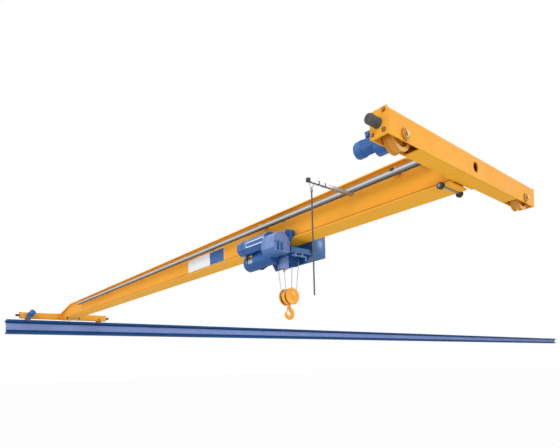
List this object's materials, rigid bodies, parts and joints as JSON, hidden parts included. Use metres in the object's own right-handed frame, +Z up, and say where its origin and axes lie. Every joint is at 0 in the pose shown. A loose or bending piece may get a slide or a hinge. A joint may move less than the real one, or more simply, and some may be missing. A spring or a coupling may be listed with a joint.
{
  "type": "overhead bridge crane",
  "caption": "Single-girder overhead bridge crane on a runway beam, with travelling end carriages, underslung rope hoist, hook block and pendant arm.",
  "frame": {"origin": "middle of the runway beam's underside, where the beam rests on its columns or brackets", "axes": "+X along the girder from the runway beam to the near end carriage, +Y along the runway, +Z up"},
  "size_m": [12.234, 39.6, 1.224],
  "materials": {
    "girder_paint": "satin",
    "hoist_paint": "satin",
    "runway_paint": "satin",
    "hook_paint": "gloss",
    "bare_steel": "brushed",
    "rail_steel": "dull",
    "cast_dark": "rough",
    "buffer_rubber": "matt",
    "plate_white": "satin",
    "cable_grey": "matt",
    "rope_wire": "stranded"
  },
  "bodies": {
    "runway": {"runway_beam": "runway_paint", "crane_rail": "rail_steel"},
    "bridge": {"girder_box": "girder_paint", "head_plates": "girder_paint", "carriage_near": "girder_paint", "carriage_far": "girder_paint", "buffers_near": "buffer_rubber", "buffers_far": "buffer_rubber", "drive_gear_case_near": "hoist_paint", "drive_gear_case_far": "hoist_paint", "drive_motor_near": "hoist_paint", "drive_motor_far": "hoist_paint", "festoon_rail": "rail_steel", "festoon_brackets": "rail_steel", "stop_rods": "rail_steel", "stop_rubbers": "buffer_rubber"},
    "wheel_near_a": {"wheel_near_a": "cast_dark"},
    "wheel_near_b": {"wheel_near_b": "cast_dark"},
    "wheel_far_a": {"wheel_far_a": "cast_dark"},
    "wheel_far_b": {"wheel_far_b": "cast_dark"},
    "trolley": {"side_plate_near": "hoist_paint", "side_plate_far": "hoist_paint", "trolley_wheels": "cast_dark", "cross_frame_left": "hoist_paint", "cross_frame_right": "hoist_paint", "cross_tube": "hoist_paint", "motor_housing": "hoist_paint", "motor_end_cap": "hoist_paint", "label_plate": "plate_white", "gearbox_housing": "hoist_paint", "electrics_box": "hoist_paint", "return_sheave": "cast_dark", "rope_anchor": "hoist_paint", "rope_falls": "rope_wire"},
    "drum": {"rope_drum": "bare_steel"},
    "hook_block": {"block_cheeks": "hook_paint", "block_body": "hook_paint", "rope_wraps": "rope_wire"},
    "sheave_a": {"block_sheave_a": "cast_dark"},
    "sheave_b": {"block_sheave_b": "cast_dark"},
    "hook": {"load_hook": "hook_paint"},
    "pendant": {"arm_runner": "rail_steel", "pendant_arm": "rail_steel", "cable_hanger": "rail_steel", "pendant_cable": "cable_grey"}
  },
  "joints": [
    {"name": "bridge_travel", "type": "slide", "parent": "runway", "child": "bridge", "axis": [0, 1, 0], "range_m": [-0.15, 36.8]},
    {"name": "trolley_travel", "type": "slide", "parent": "bridge", "child": "trolley", "axis": [1, 0, 0], "range_m": [-8.15, 1.68]},
    {"name": "hook_lift", "type": "slide", "parent": "trolley", "child": "hook_block", "axis": [0, 0, 1], "range_m": [-4.5, 0.08], "deforming": ["rope_falls"]},
    {"name": "drum_spin", "type": "hinge", "parent": "trolley", "child": "drum", "pos_m": [9.7, -18.52, 0.245], "axis": [1, 0, 0], "continuous": true},
    {"name": "sheave_a_spin", "type": "hinge", "parent": "hook_block", "child": "sheave_a", "pos_m": [9.815, -18.33, -0.203], "axis": [1, 0, 0], "continuous": true},
    {"name": "sheave_b_spin", "type": "hinge", "parent": "hook_block", "child": "sheave_b", "pos_m": [9.815, -18.33, -0.203], "axis": [1, 0, 0], "continuous": true},
    {"name": "hook_swivel", "type": "hinge", "parent": "hook_block", "child": "hook", "pos_m": [9.815, -18.33, -0.203], "axis": [0, 0, 1], "continuous": true},
    {"name": "pendant_travel", "type": "slide", "parent": "bridge", "child": "pendant", "axis": [1, 0, 0], "range_m": [-8.83, 0.55]},
    {"name": "wheel_near_a_spin", "type": "hinge", "parent": "bridge", "child": "wheel_near_a", "pos_m": [12, -19.27, 0.4744], "axis": [1, 0, 0], "continuous": true},
    {"name": "wheel_near_b_spin", "type": "hinge", "parent": "bridge", "child": "wheel_near_b", "pos_m": [12, -17.39, 0.4744], "axis": [1, 0, 0], "continuous": true},
    {"name": "wheel_far_a_spin", "type": "hinge", "parent": "bridge", "child": "wheel_far_a", "pos_m": [0, -19.27, 0.4744], "axis": [1, 0, 0], "continuous": true},
    {"name": "wheel_far_b_spin", "type": "hinge", "parent": "bridge", "child": "wheel_far_b", "pos_m": [0, -17.39, 0.4744], "axis": [1, 0, 0], "continuous": true}
  ],
  "couplings": [
    {"joint": "wheel_near_a_spin", "follows": "bridge_travel", "rad_per_m": -11.905},
    {"joint": "wheel_near_b_spin", "follows": "bridge_travel", "rad_per_m": -11.905},
    {"joint": "wheel_far_a_spin", "follows": "bridge_travel", "rad_per_m": -11.905},
    {"joint": "wheel_far_b_spin", "follows": "bridge_travel", "rad_per_m": -11.905},
    {"joint": "drum_spin", "follows": "hook_lift", "rad_per_m": 53.404},
    {"joint": "sheave_a_spin", "follows": "hook_lift", "rad_per_m": -40.053},
    {"joint": "sheave_b_spin", "follows": "hook_lift", "rad_per_m": 13.351}
  ]
}
